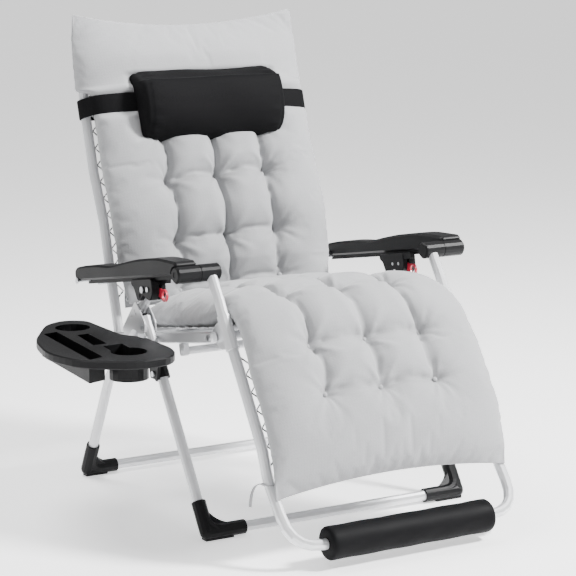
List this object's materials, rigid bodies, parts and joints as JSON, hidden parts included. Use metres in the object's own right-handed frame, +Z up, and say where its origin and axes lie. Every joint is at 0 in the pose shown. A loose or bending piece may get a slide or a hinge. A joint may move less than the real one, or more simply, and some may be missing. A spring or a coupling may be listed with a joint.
{
  "type": "zero gravity recliner",
  "caption": "Padded zero gravity recliner with sling frame, scissor legs, sliding arm clamps, side tray, headrest and foot roll.",
  "frame": {"origin": "on the floor, under the middle of the bounding box", "axes": "+Z up, the chair faces -Y, the sitter's right and the tray are at -X"},
  "size_m": [1.019, 1.0992, 1.1102],
  "materials": {
    "white_tube": "satin powder coat",
    "bolt": "zinc plated",
    "black_plastic": "fine grain",
    "red_plastic": "moulded",
    "grey_fabric": "soft woven cover",
    "black_fabric": "woven cover",
    "lace": "braided elastic cord",
    "black_foam": "closed-cell foam"
  },
  "bodies": {
    "base": {"rear_leg_frame": "white_tube", "rear_boot_right": "black_plastic", "rear_boot_left": "black_plastic", "gusset_right": "white_tube", "gusset_left": "white_tube", "leg_pin_right": "bolt", "leg_pin_left": "bolt"},
    "front_legs": {"front_leg_frame": "white_tube", "front_boot_right": "black_plastic", "front_boot_left": "black_plastic", "front_leg_plug_right": "black_plastic", "front_leg_plug_left": "black_plastic", "tray": "black_plastic", "tray_clamp": "black_plastic", "tray_screw": "bolt"},
    "seat_bolts": {"seat_bolt_right": "bolt", "seat_bolt_left": "bolt", "seat_spreader": "white_tube"},
    "seat": {"seat_rail_right": "white_tube", "seat_rail_left": "white_tube", "seat_cross_bar": "white_tube", "seat_sling": "grey_fabric", "seat_cushion": "grey_fabric"},
    "hip_bolts": {"hip_bolt_right": "bolt", "hip_bolt_left": "bolt", "hip_spreader": "white_tube"},
    "backrest": {"back_frame": "white_tube", "back_sling": "grey_fabric", "back_cushion": "grey_fabric", "back_lace_right": "lace", "back_lace_left": "lace"},
    "knee_bolts": {"knee_bolt_right": "bolt", "knee_bolt_left": "bolt", "knee_spreader": "white_tube"},
    "footrest": {"footrest_frame": "white_tube", "foot_roll": "black_foam", "knee_bracket_right": "white_tube", "knee_bracket_left": "white_tube", "barrel_right": "black_plastic", "barrel_left": "black_plastic", "leg_sling": "grey_fabric", "leg_cushion": "grey_fabric", "leg_lace_right": "lace", "leg_lace_left": "lace"},
    "arm_bolts": {"arm_bolt_right": "bolt", "arm_bolt_left": "bolt"},
    "arms": {"arm_rail_right": "black_plastic", "arm_rail_left": "black_plastic", "arm_pad_right": "black_plastic", "arm_pad_left": "black_plastic"},
    "clamp_pins": {"clamp_pin_right": "bolt", "clamp_pin_left": "bolt"},
    "clamps": {"clamp_right": "black_plastic", "clamp_left": "black_plastic", "lever_pin_right": "bolt", "lever_pin_left": "bolt"},
    "lever_right": {"lock_lever_right": "red_plastic"},
    "lever_left": {"lock_lever_left": "red_plastic"},
    "headrest": {"headrest_pillow": "black_fabric"}
  },
  "joints": [
    {"name": "fold", "type": "hinge", "parent": "base", "child": "front_legs", "pos_m": [0.11721, 0.07838, 0.443], "axis": [-1, 0, 0], "range_deg": [-60, 0]},
    {"name": "recline", "type": "hinge", "parent": "front_legs", "child": "seat_bolts", "pos_m": [0.11721, 0.06229, 0.41864], "axis": [-1, 0, 0], "range_deg": [0, 25]},
    {"name": "seat_fold", "type": "hinge", "parent": "seat_bolts", "child": "seat", "pos_m": [0.11721, 0.06229, 0.41864], "axis": [-1, 0, 0], "range_deg": [0, 98], "deforming": ["seat_cushion"]},
    {"name": "hip_recline", "type": "hinge", "parent": "seat", "child": "hip_bolts", "pos_m": [0.11721, 0.32238, 0.372], "axis": [-1, 0, 0], "range_deg": [0, 25]},
    {"name": "hip_fold", "type": "hinge", "parent": "hip_bolts", "child": "backrest", "pos_m": [0.11721, 0.32238, 0.372], "axis": [-1, 0, 0], "range_deg": [-60, 0], "deforming": ["back_cushion"]},
    {"name": "knee_recline", "type": "hinge", "parent": "seat", "child": "knee_bolts", "pos_m": [0.11721, -0.19062, 0.464], "axis": [-1, 0, 0], "range_deg": [0, 25]},
    {"name": "knee_fold", "type": "hinge", "parent": "knee_bolts", "child": "footrest", "pos_m": [0.11721, -0.19062, 0.464], "axis": [-1, 0, 0], "range_deg": [-60, 0], "deforming": ["leg_cushion"]},
    {"name": "arm_recline", "type": "hinge", "parent": "backrest", "child": "arm_bolts", "pos_m": [0.11721, 0.36838, 0.512], "axis": [-1, 0, 0], "range_deg": [-25, 0]},
    {"name": "arm_fold", "type": "hinge", "parent": "arm_bolts", "child": "arms", "pos_m": [0.11721, 0.36838, 0.512], "axis": [-1, 0, 0], "range_deg": [0, 60]},
    {"name": "clamp_recline", "type": "hinge", "parent": "base", "child": "clamp_pins", "pos_m": [0.11721, 0.06258, 0.5364], "axis": [-1, 0, 0], "range_deg": [0, 25]},
    {"name": "clamp_fold", "type": "hinge", "parent": "clamp_pins", "child": "clamps", "pos_m": [0.11721, 0.06258, 0.5364], "axis": [-1, 0, 0], "range_deg": [0, 38]},
    {"name": "lever_right_tip", "type": "hinge", "parent": "clamps", "child": "lever_right", "pos_m": [0.11721, 0.03638, 0.541], "axis": [-1, 0, 0], "range_deg": [-20, 0]},
    {"name": "lever_left_tip", "type": "hinge", "parent": "clamps", "child": "lever_left", "pos_m": [0.11721, 0.03638, 0.541], "axis": [-1, 0, 0], "range_deg": [-20, 0]},
    {"name": "headrest_slide", "type": "slide", "parent": "backrest", "child": "headrest", "axis": [0, 0.2482, 0.9687], "range_m": [-0.12, 0.015]}
  ],
  "couplings": [
    {"joint": "seat_fold", "follows": "fold", "ratio": -1.6333},
    {"joint": "hip_fold", "follows": "fold", "ratio": 1},
    {"joint": "knee_fold", "follows": "fold", "ratio": 1},
    {"joint": "arm_fold", "follows": "fold", "ratio": -1},
    {"joint": "clamp_fold", "follows": "fold", "ratio": -0.63333},
    {"joint": "hip_recline", "follows": "recline", "ratio": 1},
    {"joint": "knee_recline", "follows": "recline", "ratio": 1},
    {"joint": "arm_recline", "follows": "recline", "ratio": -1},
    {"joint": "clamp_recline", "follows": "recline", "ratio": 1}
  ]
}
